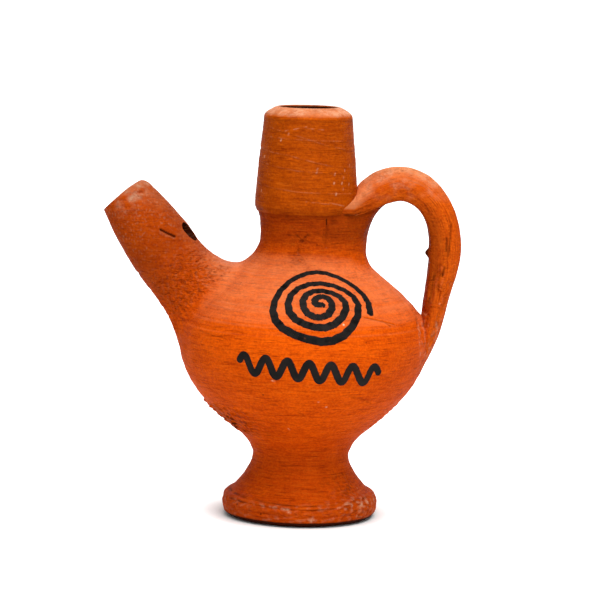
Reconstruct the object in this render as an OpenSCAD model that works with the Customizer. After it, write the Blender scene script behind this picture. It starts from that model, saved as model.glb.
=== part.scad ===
// Small whistle botijo: an unglazed clay jug on a pedestal foot, with a filling
// collar, a loop handle and a spout that whistles when it is blown.
// Millimetres. The origin is the middle of the foot's underside, +Z is up, the
// handle lies toward +X and the spout toward -X.

/* [Foot] */
// Height of the foot, from the table to the edge of the bowl's seat
foot_h = 20.9; // [18:0.1:24]
// Diameter of the rounded rim at its widest
foot_d = 38.4; // [36:0.2:44]
// Diameter of the flat underside that the foot stands on
stand_d = 32.6; // [30:0.2:35]
// Height of the rounded rim
rim_h = 5.8; // [4.8:0.1:6.8]
// Width of the sloping ledge on top of the rim
ledge_w = 2.2; // [1.6:0.1:2.8]
// Diameter of the waist
waist_d = 23.8; // [21:0.2:27]
// Distance of the waist below the bowl's seat
waist_drop = 5.8; // [4.8:0.1:6.8]
// Diameter of the bowl's seat
seat_d = 30.8; // [29:0.2:32]
// Depth of the dish that the bowl sits in
seat_dip = 2; // [1:0.1:3]

/* [Bowl and neck] */
// Diameter of the bowl at its widest
bowl_d = 60.9; // [56:0.1:68]
// Height of the widest part above the seat
belly_h = 22.3; // [20:0.1:27]
// Height from the widest part to the turn of the shoulder
shoulder_h = 18; // [16:0.1:21]
// Diameter at the turn of the shoulder, where the neck begins
shoulder_d = 34; // [32:0.2:37]
// Height from the turn of the shoulder to the collar
neck_h = 14.2; // [13:0.1:17]
// Diameter of the neck at its narrowest
neck_d = 22.2; // [21:0.1:24]
// Distance of the narrowest part of the neck below the collar
throat_drop = 6; // [5:0.1:7]
// Diameter of the neck right under the collar
neck_top_d = 24; // [23.4:0.1:25]
// Thickness of the bowl's wall
wall = 4; // [3:0.1:5]
// Diameter of the passage in the neck
throat_d = 14; // [12:0.1:14.2]

/* [Collar] */
// Height of the collar
collar_h = 25.4; // [21:0.1:32]
// Diameter of the collar near its lower edge
collar_d = 25.3; // [24.8:0.1:28]
// Diameter of the collar under the lip
collar_top_d = 21.9; // [20.4:0.1:24]
// Height of the rounded lip
lip_h = 3.2; // [2.4:0.1:4]
// Diameter of the mouth
mouth_d = 14.4; // [12:0.1:15]
// Diameter of the neck's spigot in the collar
spigot_d = 19; // [18.4:0.1:20]
// Height of the neck's spigot
spigot_h = 6; // [4:0.1:9]

/* [Spout] */
// Distance of the mouthpiece's end from the jug's axis
spout_reach = 45.5; // [42:0.1:50]
// Height of the mouthpiece's end above the turn of the shoulder
spout_rise = 17.8; // [16:0.1:20]
// Lean of the spout from the level
spout_tilt = 53.5; // [50:0.5:56]
// Turn of the spout about the jug's axis, away from straight opposite the handle
spout_turn = 5; // [0:1:12]
// Diameter of the mouthpiece at its end
tip_d = 12.4; // [12:0.1:14.6]
// Diameter of the spout below the window
spout_d = 17.3; // [16:0.1:19]
// Diameter of the bore through the spout
bore_d = 9; // [7.6:0.1:9.6]
// Distance of the window from the end of the mouthpiece
window_s = 15.4; // [13:0.1:17]
// Length of the window along the spout
window_l = 2.4; // [2:0.1:4]
// Width of the window
window_w = 6.4; // [5:0.1:7]
// Height of the windway above the block
windway_h = 1.5; // [1:0.1:2]
// Slope of the whistle's edge
ramp_angle = 60; // [50:1:70]
// Half width of the spout's foot on the bowl
root_w = 12; // [11:0.2:14]

/* [Handle] */
// Distance of the handle's outermost point from the jug's axis
handle_reach = 38.3; // [36:0.1:44]
// Height of the handle's top above the collar's seat
handle_rise = 11.4; // [10:0.1:14]
// Thickness of the handle, seen from the side
handle_t = 8; // [7:0.1:9.4]
// Width of the handle, across its thickness
handle_w = 9.8; // [8:0.1:12]
// Height of the upper root's top above the collar's lower edge
web_rise = 6.2; // [5:0.1:7.4]
// Depth of the upper root's bottom below the collar's lower edge
web_drop = 13.4; // [12:0.1:14]
// Distance of the handle's highest point from the jug's axis
crown_x = 22.7; // [21:0.1:24]
// Height of the handle's outermost point above the bowl's widest part
bow_rise = 23.6; // [22:0.1:25]
// Height above the bowl's widest part at which the handle meets the bowl
elbow_rise = 8.9; // [8:0.1:9.6]
// Depth of the handle's tail below the bowl's widest part
tail_drop = 4.6; // [3:0.1:6]
// Half width of the upper root on the neck
handle_root_w = 7.6; // [6:0.1:9]
// Half width of the lower root on the bowl
handle_tail_w = 8.6; // [6:0.1:10]

/* [Fit] */
// Thickness of the slip between two luted pieces
slip = 0.15; // [0.1:0.05:0.3]

/* [Hidden] */
$fn = 96;
clay = [0.88, 0.40, 0.20];
dark_clay = [0.74, 0.33, 0.15];

// Heights
belly_z = foot_h + belly_h;
shoulder_z = belly_z + shoulder_h;
collar_z = shoulder_z + neck_h;
throat_z = collar_z - throat_drop;
top_z = collar_z + collar_h;
waist_z = foot_h - waist_drop;

// Slopes of the outline at the bowl's seat and at the turn of the shoulder, and
// how far it bulges on from there, above the waist, and beside and above the widest part
seat_slope = 38;
shoulder_slope = 40;
waist_swell = 2.1;
seat_swell = 9;
low_swell = 9.2;
high_swell = 8.4;
shoulder_swell = 7;

// Point on a cubic curve from a to d that leaves toward b and arrives from c
function bezier(a, b, c, d, t) =
    pow(1 - t, 3) * a + 3 * t * pow(1 - t, 2) * b + 3 * t * t * (1 - t) * c + pow(t, 3) * d;

// Points of that curve, without its first
function curve(a, b, c, d, n) = [for (i = [1:n]) bezier(a, b, c, d, i / n)];

// Unit vector in the plane of an outline at an angle from the level
function heading(angle) = [cos(angle), sin(angle)];

// Outline of the outside of the foot, as [radius, height]
rim_round = 0.7;
ledge_slope = 148;
stand_p = [stand_d / 2, 0];
rim_p = [foot_d / 2, rim_h / 2];
edge_p = [foot_d / 2 - rim_round, rim_h];
ledge_p = edge_p + ledge_w * heading(ledge_slope);
waist_p = [waist_d / 2, waist_z];
foot_top_p = [seat_d / 2 - slip, foot_h - slip];
foot_side = concat(
    [stand_p],
    curve(stand_p, stand_p + [1.6, 0.2], rim_p - [0, 1.9], rim_p, 7),
    curve(rim_p, rim_p + [0, 1.6], edge_p + [0.5, -0.6], edge_p, 5),
    curve(edge_p, edge_p + [-0.5, 0.5], ledge_p + [0.8, -0.5], ledge_p, 3),
    curve(ledge_p, ledge_p + [-1.8, 1.8], waist_p - [0, 2.6], waist_p, 8),
    curve(waist_p, waist_p + [0, waist_swell], foot_top_p - 1.8 * heading(seat_slope),
        foot_top_p, 6)
);

// Outline of the outside of the bowl and neck, from the seat to the collar
seat_p = [seat_d / 2, foot_h];
belly_p = [bowl_d / 2, belly_z];
shoulder_p = [shoulder_d / 2, shoulder_z];
throat_p = [neck_d / 2, throat_z];
neck_top_p = [neck_top_d / 2, collar_z];
bowl_side = concat(
    [seat_p],
    curve(seat_p, seat_p + seat_swell * heading(seat_slope), belly_p - [0, low_swell],
        belly_p, 16),
    curve(belly_p, belly_p + [0, high_swell],
        shoulder_p + shoulder_swell * heading(-shoulder_slope), shoulder_p, 14),
    curve(shoulder_p, shoulder_p + 2.8 * heading(180 - shoulder_slope), throat_p - [0, 4.6],
        throat_p, 9),
    curve(throat_p, throat_p + [0, 3], neck_top_p - [0.5, 1.2], neck_top_p, 5)
);

// Outline of the chamber and the passage in the neck, from the top down
passage_h = 3;
floor_swell = 10.5;
floor_w = 15;
belly_in_p = belly_p - [wall, 0];
shoulder_in_p = shoulder_p + wall * heading(270 - shoulder_slope);
throat_in_p = [throat_d / 2, throat_z - passage_h];
floor_p = [0, foot_h - seat_dip + wall];
chamber_side = concat(
    [throat_in_p],
    curve(throat_in_p, throat_in_p - [0, 3.6], shoulder_in_p + 4 * heading(180 - shoulder_slope),
        shoulder_in_p, 7),
    curve(shoulder_in_p, shoulder_in_p + 5.5 * heading(-shoulder_slope), belly_in_p + [0, 7.5],
        belly_in_p, 12),
    curve(belly_in_p, belly_in_p - [0, floor_swell], floor_p + [floor_w, 0], floor_p, 14)
);

// Outline of the outside of the collar, from its lower edge to the mouth
overhang = 0.2;
edge_h = 1.8;
brim_w = 0.3;
mouth_round = 0.6;
collar_foot_p = [neck_top_d / 2 + overhang, collar_z + slip];
collar_low_p = [collar_d / 2, collar_z + edge_h];
collar_top_p = [collar_top_d / 2, top_z - lip_h];
brim_p = [mouth_d / 2 + brim_w, top_z];
collar_side = concat(
    [collar_foot_p],
    curve(collar_foot_p, collar_foot_p + [0.3, 0.3], collar_low_p - [0, 0.8], collar_low_p, 4),
    curve(collar_low_p, collar_low_p + [0, 3], collar_top_p + [0.7, -7], collar_top_p, 8),
    curve(collar_top_p, collar_top_p + [-0.1, 1.3], brim_p + [1.7, -0.7], brim_p, 6)
);

// Radius that a luted piece reaches at a height on the bowl, neck or collar
side_table = [for (p = concat(bowl_side, collar_side)) [p[1], p[0]]];
function side_r(z) = lookup(z, side_table) + slip;

// Surface of the dished seat under the bowl
dish_r = (pow(seat_d / 2, 2) + pow(seat_dip, 2)) / (2 * seat_dip);
dish_mid_z = foot_h - seat_dip + dish_r;
dish_n = 8;
dish = [for (r = [0:seat_d / 2 / dish_n:seat_d / 2 - 1])
    [r, dish_mid_z - sqrt(dish_r * dish_r - r * r)]];

// Solid between rings of points that all have the same count, closed at both
// ends on a middle point
module skin(rings, start, end) {
    n = len(rings[0]);
    last = len(rings) - 1;
    points = concat([start], [for (ring = rings) each ring], [end]);
    function at(i, k) = 1 + i * n + k % n;
    polyhedron(points, concat(
        [for (k = [0:n - 1]) [0, at(0, k), at(0, k + 1)]],
        [for (i = [0:last - 1], k = [0:n - 1]) each [
            [at(i, k), at(i + 1, k), at(i + 1, k + 1)],
            [at(i, k), at(i + 1, k + 1), at(i, k + 1)]]],
        [for (k = [0:n - 1]) [at(last, k + 1), at(last, k), len(points) - 1]]
    ), convexity = 6);
}

// ---- Foot: a solid pedestal with a flat underside, dished on top for the bowl
module foot() {
    color(clay)
        rotate_extrude()
            polygon(concat([[0, 0]], foot_side,
                [for (i = [len(dish) - 1:-1:0]) dish[i] - [0, slip]]));
}

// ---- Bowl and neck: the thrown hollow body, with a spigot for the collar and
// a round hole pierced in line with the spout's bore
module body() {
    spigot_top = collar_z + spigot_h;
    color(clay)
        difference() {
            rotate_extrude()
                polygon(concat(dish, bowl_side,
                    [[spigot_d / 2, collar_z], [spigot_d / 2, spigot_top],
                    [throat_d / 2, spigot_top]], chamber_side));
            along_spout()
                cylinder(d = bore_d, h = hole_end);
        }
}

// ---- Collar: the tapered mouthpiece of the neck, with a socket for the spigot
module collar() {
    socket_r = spigot_d / 2 + slip;
    socket_top = collar_z + spigot_h + slip;
    color(dark_clay)
        rotate_extrude()
            polygon(concat(collar_side,
                [[mouth_d / 2, top_z - mouth_round], [mouth_d / 2, socket_top],
                [socket_r, socket_top], [socket_r, collar_z + slip]]));
}

// ---- Spout: a blown mouthpiece, a tapered tube smeared out onto the shoulder
tip_z = shoulder_z + spout_rise;
steps = 28;

// Place in space of a point given along the spout, above its axis and beside it
function on_spout(s, up, side) = [
    -spout_reach + s * cos(spout_tilt) + up * sin(spout_tilt),
    side,
    tip_z - s * sin(spout_tilt) + up * cos(spout_tilt)];

// Distance along the axis to where it meets the bowl
function meet_s(s) = let (p = on_spout(s, 0, 0))
    -p[0] < side_r(p[2]) ? s : meet_s(s + 0.1);
root_s = meet_s(window_s);
root_z = on_spout(root_s, 0, 0)[2];
hole_end = root_s + 2.5 * wall;

// Where the smeared edge lies on the bowl, at a turn around the spout
root_up = 8.4;
root_down = 10.8;
function root_at(turn, share) =
    let (side = root_w * sin(turn) * share,
        z = root_z + (cos(turn) > 0 ? root_up : root_down) * cos(turn) * share)
    [-sqrt(pow(side_r(z), 2) - side * side), side, z];

// Radius of the tube at a distance from its end, up to where the smear begins
smear_l = 12;
tube_l = root_s - smear_l;
function tube_r(s) = tip_d / 2 + (spout_d - tip_d) / 2 * (1 - pow(1 - s / tube_l, 2));

function around(s, r) = [for (k = [0:steps - 1])
    on_spout(s, r * cos(k * 360 / steps), r * sin(k * 360 / steps))];

// Ring on the smear, from the tube at 0 to the bowl at 1
function smear(t) = [for (k = [0:steps - 1])
    let (turn = k * 360 / steps,
        tube = on_spout(tube_l, spout_d / 2 * cos(turn), spout_d / 2 * sin(turn)),
        root = root_at(turn, 1),
        out = root - root_at(turn, 0.96),
        along = on_spout(1, 0, 0) - on_spout(0, 0, 0))
    bezier(tube, tube + lookup(cos(turn), [[-1, 10.5], [0, 5.5], [1, 1.5]]) * along,
        root - (3.5 - 1.5 * cos(turn)) * out / norm(out), root, t)];

module along_spout() {
    rotate([0, 0, -spout_turn])
        translate([-spout_reach, 0, tip_z])
            rotate([0, 90 + spout_tilt, 0])
                children();
}

module spout() {
    round_l = 2.6;
    end_round = curve([0, tip_d * 0.28], [0, tip_d * 0.45], [round_l * 0.35, tip_d * 0.5],
        [round_l, tube_r(round_l)], 5);
    rings = concat(
        [for (p = end_round) around(p[0], p[1])],
        [for (i = [1:6]) let (s = round_l + (tube_l - round_l) * i / 6) around(s, tube_r(s))],
        [for (i = [1:9]) smear(i / 9)],
        [for (share = [0.85, 0.7, 0.5, 0.3])
            [for (k = [0:steps - 1]) root_at(k * 360 / steps, share)]]
    );
    color(clay)
        difference() {
            rotate([0, 0, -spout_turn])
                skin(rings, on_spout(0, 0, 0), root_at(0, 0));
            along_spout()
                translate([0, 0, -1])
                    cylinder(d = bore_d, h = hole_end);
            along_spout()
                window_cut();
        }
}

// The whistle's window and the ramp that rises from its edge, cut as one slot
module window_cut() {
    floor_up = bore_d / 2 - windway_h;
    lip_up = bore_d / 2 - windway_h / 2;
    lip_s = window_s + window_l;
    rise = spout_d / 2;
    rotate([90, 0, 0])
        linear_extrude(height = window_w, center = true)
            polygon([
                [-floor_up, window_s],
                [-floor_up, lip_s],
                [-lip_up, lip_s],
                [-lip_up - rise, lip_s + rise / tan(ramp_angle)],
                [-lip_up - rise, window_s]]);
}

// ---- Block: the plug of clay in the mouthpiece, flat on top for the windway
module fipple_block() {
    sunk = 0.6;
    flat_up = bore_d / 2 - windway_h;
    color(dark_clay)
        along_spout()
            translate([0, 0, sunk])
                difference() {
                    cylinder(d = bore_d - 2 * slip, h = window_s - sunk);
                    translate([-bore_d, -bore_d, -1])
                        cube([bore_d - flat_up, 2 * bore_d, window_s + 2]);
                }
}

// ---- Handle: an oval coil from the collar to the bowl, smeared on at both ends
web_top_z = collar_z + web_rise;
web_z = collar_z - web_drop;
crown_z = collar_z + handle_rise;
far_z = belly_z + bow_rise;
elbow_z = belly_z + elbow_rise;
tail_z = belly_z - tail_drop;
quarter = 0.55;

// Outline seen from the side, as [x, z]: the back of the handle and the side
// toward the finger, each as one curve for each quarter of the way
root_back = [side_r(web_top_z), web_top_z];
root_in = [side_r(web_z), web_z];
crown_back = [crown_x, crown_z];
crown_in = [crown_x, crown_z - handle_t];
far_back = [handle_reach, far_z];
far_in = [handle_reach - handle_t, far_z + 1];
elbow_in = [side_r(elbow_z), elbow_z];
elbow_back = elbow_in + [handle_t, -0.2];
tail_in = [side_r(tail_z), tail_z];
tail_back = tail_in + [0.4, 0];

function back_at(u) =
    u < 1 ? bezier(root_back, root_back + [1.8, 3.2], crown_back - [4, 0], crown_back, u) :
    u < 2 ? bezier(crown_back, crown_back + [(far_back - crown_back)[0] * quarter, 0],
        far_back + [0, (crown_back - far_back)[1] * quarter], far_back, u - 1) :
    u < 3 ? bezier(far_back, far_back - [0, 5], elbow_back + [1.1, 5], elbow_back, u - 2) :
    bezier(elbow_back, elbow_back - [0.9, 4.2], tail_back + [2.4, 4.6], tail_back, u - 3);

function inner_at(u) =
    u < 1 ? bezier(root_in, root_in + [-3.4, 5], crown_in - [6.2, 0.1], crown_in, u) :
    u < 2 ? bezier(crown_in, crown_in + [(far_in - crown_in)[0] * quarter, 0],
        far_in + [0, (crown_in - far_in)[1] * quarter], far_in, u - 1) :
    u < 3 ? bezier(far_in, far_in - [0, 7], elbow_in + [1.4, 5], elbow_in, u - 2) :
    let (z = elbow_z + (tail_z - elbow_z) * (u - 3)) [side_r(z), z];

// Half width across, at each quarter of the way
function half_w(u) = lookup(u, [[0, handle_root_w], [0.5, handle_w * 0.57], [1, handle_w / 2],
    [2.6, handle_w / 2], [3, handle_tail_w * 0.8], [3.4, handle_tail_w],
    [3.8, handle_tail_w * 0.8], [4, handle_tail_w * 0.45]]);

// Keeps a point off the jug: moves it out along X onto the luted surface
function clear_of_jug(p) =
    let (r = side_r(p[2])) abs(p[1]) > r ? p : [max(p[0], sqrt(r * r - p[1] * p[1])), p[1], p[2]];

// Drops a point along X onto the luted surface
function on_jug(p) = [sqrt(pow(side_r(p[2]), 2) - p[1] * p[1]), p[1], p[2]];

function handle_ring(u, share = 1) = [for (k = [0:steps - 1])
    let (back = back_at(u),
        inner = inner_at(u),
        mid = (back + inner) / 2,
        half = (back - inner) / 2 * cos(k * 360 / steps) * share,
        side = half_w(u) * sin(k * 360 / steps) * share)
    [mid[0] + half[0], side, mid[1] + half[1]]];

module handle() {
    rings = concat(
        [for (share = [0.3, 0.55, 0.8, 1]) [for (p = handle_ring(0, share)) on_jug(p)]],
        [for (u = [0.1:0.1:4]) [for (p = handle_ring(u)) clear_of_jug(p)]]
    );
    root_mid = (root_back + root_in) / 2;
    tail_mid = (tail_back + tail_in) / 2;
    color(clay)
        skin(rings, on_jug([root_mid[0], 0, root_mid[1]]), [tail_mid[0], 0, tail_mid[1]]);
}

foot();
body();
collar();
spout();
fipple_block();
handle();
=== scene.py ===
# Small whistle botijo of unglazed red clay, 101 mm tall: a pedestal foot, a thrown
# bowl and neck, a filling collar, a spout that whistles and a loop handle, with a
# painted spiral in front. Each piece is shaped in millimetres, in the frame's axes.
import math

import bmesh
import bpy
import numpy as np
from mathutils import Matrix, Vector


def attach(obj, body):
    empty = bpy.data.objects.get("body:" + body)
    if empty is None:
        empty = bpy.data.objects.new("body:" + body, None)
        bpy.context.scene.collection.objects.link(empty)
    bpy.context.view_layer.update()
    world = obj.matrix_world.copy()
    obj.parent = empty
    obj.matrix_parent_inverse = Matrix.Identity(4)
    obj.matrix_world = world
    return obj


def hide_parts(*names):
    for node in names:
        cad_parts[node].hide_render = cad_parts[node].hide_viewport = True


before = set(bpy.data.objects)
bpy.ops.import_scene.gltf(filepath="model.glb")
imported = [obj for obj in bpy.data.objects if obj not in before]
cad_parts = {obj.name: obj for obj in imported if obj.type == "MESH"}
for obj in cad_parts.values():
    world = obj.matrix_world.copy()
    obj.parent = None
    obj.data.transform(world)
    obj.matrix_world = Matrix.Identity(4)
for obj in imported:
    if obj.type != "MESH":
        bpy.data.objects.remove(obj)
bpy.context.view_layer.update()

# ---- Foot
# A pedestal of red clay, thrown solid and cut from the wheel with a wire. The bowl
# is luted into the dish on top of it with slip, and the joint is wiped over.
MM = 0.001
FOOT_H = 20.9
STAND_R = 16.3
EDGE_R = 18.5
RIM_R = 19.2
SEAT_R = 15.4
FOOT_TURNS = 720


def curve(a, b, c, d, n):
    """The n points after the first on a cubic curve that leaves a toward b."""
    t = np.linspace(0, 1, n + 1)[1:, None]
    a, b, c, d = (np.array(p, float) for p in (a, b, c, d))
    return (1 - t) ** 3 * a + 3 * t * (1 - t) ** 2 * b + 3 * t * t * (1 - t) * c + t ** 3 * d


def heading(degrees, length=1.0):
    """A step in a direction, as [outward, up]."""
    angle = math.radians(degrees)
    return length * np.array([math.cos(angle), math.sin(angle)])


def evened(points, step):
    """The same line with its points an even step apart."""
    points = np.array(points, float)
    run = np.concatenate([[0], np.cumsum(np.linalg.norm(np.diff(points, axis=0), axis=1))])
    at = np.linspace(0, run[-1], max(2, int(round(run[-1] / step)) + 1))
    return np.stack([np.interp(at, run, points[:, k]) for k in range(points.shape[1])], axis=1)


stand = np.array([STAND_R, 0.0])
rim = np.array([RIM_R, 2.9])
edge = np.array([EDGE_R, 5.8])
ledge = edge + heading(148, 2.2)
waist = np.array([11.9, 15.1])
seat = np.array([SEAT_R, FOOT_H])
foot_side = np.vstack([
    [stand], curve(stand, stand + [1.6, 0.2], rim - [0, 1.9], rim, 20),
    curve(rim, rim + [0, 1.6], edge + [0.5, -0.6], edge, 16),
    curve(edge, edge + [-0.5, 0.5], ledge + [0.8, -0.5], ledge, 10),
    curve(ledge, ledge + [-1.8, 1.8], waist - [0, 2.6], waist, 30),
    curve(waist, waist + [0, 2.1], seat - heading(38, 1.8), seat, 20)])
foot_side = evened(foot_side, 0.15)


def held(amount):
    """An amount kept between 0 and 1."""
    return np.clip(amount, 0, 1)


def close_to(value, middle, width):
    """1 where a value is at the middle, falling away to 0 past the width."""
    return np.exp(-((value - middle) / width) ** 2)


def lumps(points, size, seed, waves=22):
    """Soft unevenness of hand-worked clay at places in space, about -1 to 1."""
    rng = np.random.default_rng(seed)
    total = np.zeros(points.shape[:-1])
    for _ in range(waves):
        way = rng.normal(size=3)
        way *= 2 * math.pi / size * rng.uniform(0.6, 1.5) / np.linalg.norm(way)
        total += np.cos(points @ way + rng.uniform(0, 2 * math.pi))
    return total * math.sqrt(2 / waves) * 0.6


def turning_marks(turn, height, low, high, count, depth, seed, wide=0.5, slope=0.3):
    """Fine grooves that fingers and rib leave while the clay turns on the wheel.
    Each sinks a little as it runs round, by the slope."""
    rng = np.random.default_rng(seed)
    total = np.zeros(np.broadcast(turn, height).shape)
    for _ in range(count):
        at, middle = rng.uniform(low, high), rng.uniform(-math.pi, math.pi)
        width, reach = rng.uniform(0.1, wide), rng.uniform(0.5, 2.6)
        sink, cut = rng.normal(slope, 0.25), depth * rng.uniform(0.2, 1)
        away = (turn - middle + math.pi) % (2 * math.pi) - math.pi
        total -= cut * np.exp(-((height - at + sink * away) / width) ** 2 - (away / reach) ** 4)
    return total


def near_line(points, line, width):
    """How much places lie on a line: 1 on it, falling away to 0 past its width."""
    points, line = np.asarray(points, float), np.asarray(line, float)
    best = np.full(points.shape[:-1], 1e9)
    for a, b in zip(line[:-1], line[1:]):
        along = b - a
        share = held((points - a) @ along / (along @ along + 1e-12))
        best = np.minimum(best, np.linalg.norm(points - a - share[..., None] * along, axis=-1))
    return np.exp(-(best / width) ** 2)


def scored(turn, height, radius, lines, width):
    """Lines cut or rubbed into a turned skin of about the radius, which is laid flat
    from the jug's front. They are given as [degrees round, height]."""
    round_way = (turn + math.pi / 2 + math.pi) % (2 * math.pi) - math.pi
    flat = np.stack(np.broadcast_arrays(round_way * radius, height), axis=-1)
    amount = np.zeros(flat.shape[:-1])
    for line in lines:
        drawn = [((d + 90) * math.pi / 180 * radius, z) for d, z in line]
        amount = np.maximum(amount, near_line(flat, drawn, width))
    return amount


def about_axis(turn, height, radius):
    """Points at a turn, a height and a radius about the jug's axis."""
    return np.stack(np.broadcast_arrays(radius * np.cos(turn), radius * np.sin(turn), height), axis=-1)


def revolved(outline, turns, moved=None):
    """Rings of an outline of [radius, height] turned about the jug's axis. moved
    gives how far each point stands proud of the outline."""
    outline = np.array(outline, float)
    turn = np.linspace(-math.pi, math.pi, turns, endpoint=False)[None, :]
    radius, height = outline[:, :1], np.repeat(outline[:, 1:], turns, axis=1)
    return about_axis(turn, height, radius + (moved(turn, height) if moved else 0))


def thrown(turn, height):
    """How far the thrown skin of the foot, bowl and neck stands off its plain outline."""
    spot = about_axis(turn, height, 22)
    return (turning_marks(turn, height, 8, 76, 170, 0.045, 21) - 0.07
        + 0.03 * np.sin(height * 2.3 + 0.8 * np.sin(turn))
        + 0.08 * lumps(spot, 16, 22) + 0.03 * lumps(spot, 5, 23))


# Folds of clay that the rim rolled over, as [degrees round, height]
rim_folds = [
    [(-200, 6.4), (-150, 6.2), (-120, 5.7), (-88, 5.3), (-60, 5.5), (-20, 5.9)],
    [(-160, 5.2), (-118, 4.75), (-84, 4.35), (-62, 4.6)],
    [(-140, 3.2), (-104, 2.9), (-78, 2.7)]]


def foot_unevenness(turn, height):
    """How far the foot's skin, its rim folds and its scuffed right side stand proud."""
    spot = about_axis(turn, height * 2.0, 20)
    low = held((8.5 - height) / 3)
    folds = scored(turn, height, EDGE_R, rim_folds, 0.32) * (0.7 + 0.5 * lumps(spot, 6, 16))
    scuffs = close_to(turn, -0.75, 0.38) * held((15 - height) / 4) * held(height / 2)
    fluted = np.cos(turn * 19 + 0.25 * height) * np.cos(turn * 31 - 0.2 * height)
    return (thrown(turn, height) - 0.06 * low + 0.09 * low * lumps(spot, 5.5, 12)
        + 0.05 * low * lumps(spot, 2.4, 13) - 0.34 * folds
        + scuffs * (0.07 * fluted + 0.06 * lumps(spot, 1.8, 17)))


def clay_skin(name, rings, loop=False, ends=(False, False)):
    """A smooth mesh over rings of points in millimetres, each ring closed. With
    loop, the last ring joins the first, and ends close the first or last ring."""
    rows, cols = rings.shape[:2]
    place = np.arange(rows * cols).reshape(rows, cols)
    if loop:
        place = np.concatenate([place, place[:1]])
    a, b = place[:-1], place[1:]
    quads = np.stack([a, np.roll(a, -1, 1), np.roll(b, -1, 1), b], axis=-1).reshape(-1, 4)
    caps = [ring for end, ring in zip(ends, (place[0][::-1], place[-1])) if end]
    spots = rings.reshape(-1, 3)
    p, q, r, s = (spots[quads[:, k]] - spots.mean(0) for k in range(4))
    inside_out = np.sum(p * np.cross(q, r)) + np.sum(p * np.cross(r, s)) < 0
    if inside_out:
        quads, caps = quads[:, ::-1], [ring[::-1] for ring in caps]
    corners = np.concatenate([quads.ravel()] + caps)
    cap_starts = [quads.size + k * cols for k in range(len(caps))]
    starts = np.concatenate([np.arange(len(quads)) * 4, cap_starts])
    mesh = bpy.data.meshes.new(name)
    mesh.vertices.add(rows * cols)
    mesh.vertices.foreach_set("co", (rings * MM).astype(np.float32).ravel())
    mesh.loops.add(len(corners))
    mesh.loops.foreach_set("vertex_index", corners.astype(np.int32))
    mesh.polygons.add(len(starts))
    mesh.polygons.foreach_set("loop_start", starts.astype(np.int32))
    mesh.polygons.foreach_set("use_smooth", np.ones(len(starts), bool))
    mesh.update(calc_edges=True)
    mesh.validate()
    mesh.set_sharp_from_angle(angle=math.radians(65))
    piece = bpy.data.objects.new(name, mesh)
    bpy.context.scene.collection.objects.link(piece)
    return piece


def mark(piece, name, amounts):
    """Keeps an amount at each point of a piece, for its clay to read."""
    kept = piece.data.attributes.new(name, "FLOAT", "POINT")
    kept.data.foreach_set("value", np.asarray(amounts, np.float32).ravel())


foot_rings = np.concatenate([
    revolved([[0.05, 0.0], [6.0, 0.0], [12.0, 0.0], [STAND_R - 0.4, 0.0]], FOOT_TURNS),
    revolved(foot_side, FOOT_TURNS, foot_unevenness),
    revolved([[13.0, FOOT_H - 1.0], [8.0, FOOT_H - 1.7], [0.05, FOOT_H - 2.1]], FOOT_TURNS)])
foot = clay_skin("foot_clay", foot_rings, ends=(True, True))
height = foot_rings[..., 2]
turn = np.arctan2(foot_rings[..., 1], foot_rings[..., 0])
fuzz = held(lumps(foot_rings * [1, 1, 1.6], 2.2, 14) + 0.1)
right = close_to(turn, -0.72, 0.35)
chips = [[(-83, 2.3), (-79.5, 2.2)], [(-98, 4.0), (-96.5, 4.0)], [(-81, 1.9), (-80, 2.8)],
    [(-112, 5.0), (-107, 4.9)], [(-103, 4.75), (-98, 4.6)]]
scuffed = 0.6 * right * close_to(height, 5.0, 2.2) + 0.4 * close_to(height, 4.9, 0.7) * (turn < 0)
mark(foot, "worn_and_lit", held(0.8 * scored(turn, height, RIM_R - 0.2, chips, 0.3) + fuzz * scuffed
    + 0.25 * fuzz * close_to(height, 2.0, 1.0)))
# Painted shade: a dark band where the rim rolls under onto the table, for its contact shadow, darkening in
# the creases of the rim's folds, and the foot darkened below its seat, where the bowl above shades it. The
# streaks on the scuffed right side are real.
creases = scored(turn, height - 0.15, EDGE_R, rim_folds[:2], 0.2) * held(0.6 + 0.9 * lumps(foot_rings, 5, 19))
rolled_under = np.hypot(foot_rings[..., 0], foot_rings[..., 1]) > STAND_R - 0.2
contact_shadow = np.clip((1.5 - height) / 0.4, 0, 0.98) * rolled_under
streaked = right * close_to(height, 9.0, 3.0) * held(lumps(foot_rings * [2, 2, 0.5], 2.0, 18))
mark(foot, "shade", np.clip(contact_shadow + 0.45 * creases + 0.30 * streaked
    + np.interp(height, [4.0, 7.5, 14.5, FOOT_H], [0.26, 0.25, 0.20, 0.05]), 0, 0.97))
mark(foot, "rough", 0.15 + 0.30 * close_to(height, 3.6, 2.6) + 0.4 * right * (height < 12))


def cleared(owner):
    """The node tree of a new material or world, emptied."""
    owner.use_nodes = True
    owner.node_tree.nodes.clear()
    return owner.node_tree


def add(tree, kind, inputs=None, **settings):
    """A shader node with its settings, and its inputs as values or other outputs."""
    made = tree.nodes.new("ShaderNode" + kind)
    for name, value in settings.items():
        setattr(made, name, value)
    for name, value in (inputs or {}).items():
        if isinstance(value, bpy.types.NodeSocket):
            tree.links.new(value, made.inputs[name])
        else:
            made.inputs[name].default_value = value
    return made


def srgb(red, green, blue):
    """A colour as it is seen, 0 to 255, as the shader takes it."""
    shown = [c / 255 for c in (red, green, blue)]
    return [c / 12.92 if c <= 0.04045 else ((c + 0.055) / 1.055) ** 2.4 for c in shown] + [1.0]


def blended(tree, amount, under, over):
    """The colour that over makes on under, by an amount."""
    return add(tree, "Mix", {0: amount, 6: under, 7: over}, data_type="RGBA",
        clamp_result=True).outputs[2]


def between(tree, value, low, high, to_low=0.0, to_high=1.0):
    """A value spread from low..high onto another range, held at its ends."""
    return add(tree, "MapRange", {"Value": value, "From Min": low, "From Max": high,
        "To Min": to_low, "To Max": to_high}).outputs["Result"]


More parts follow.
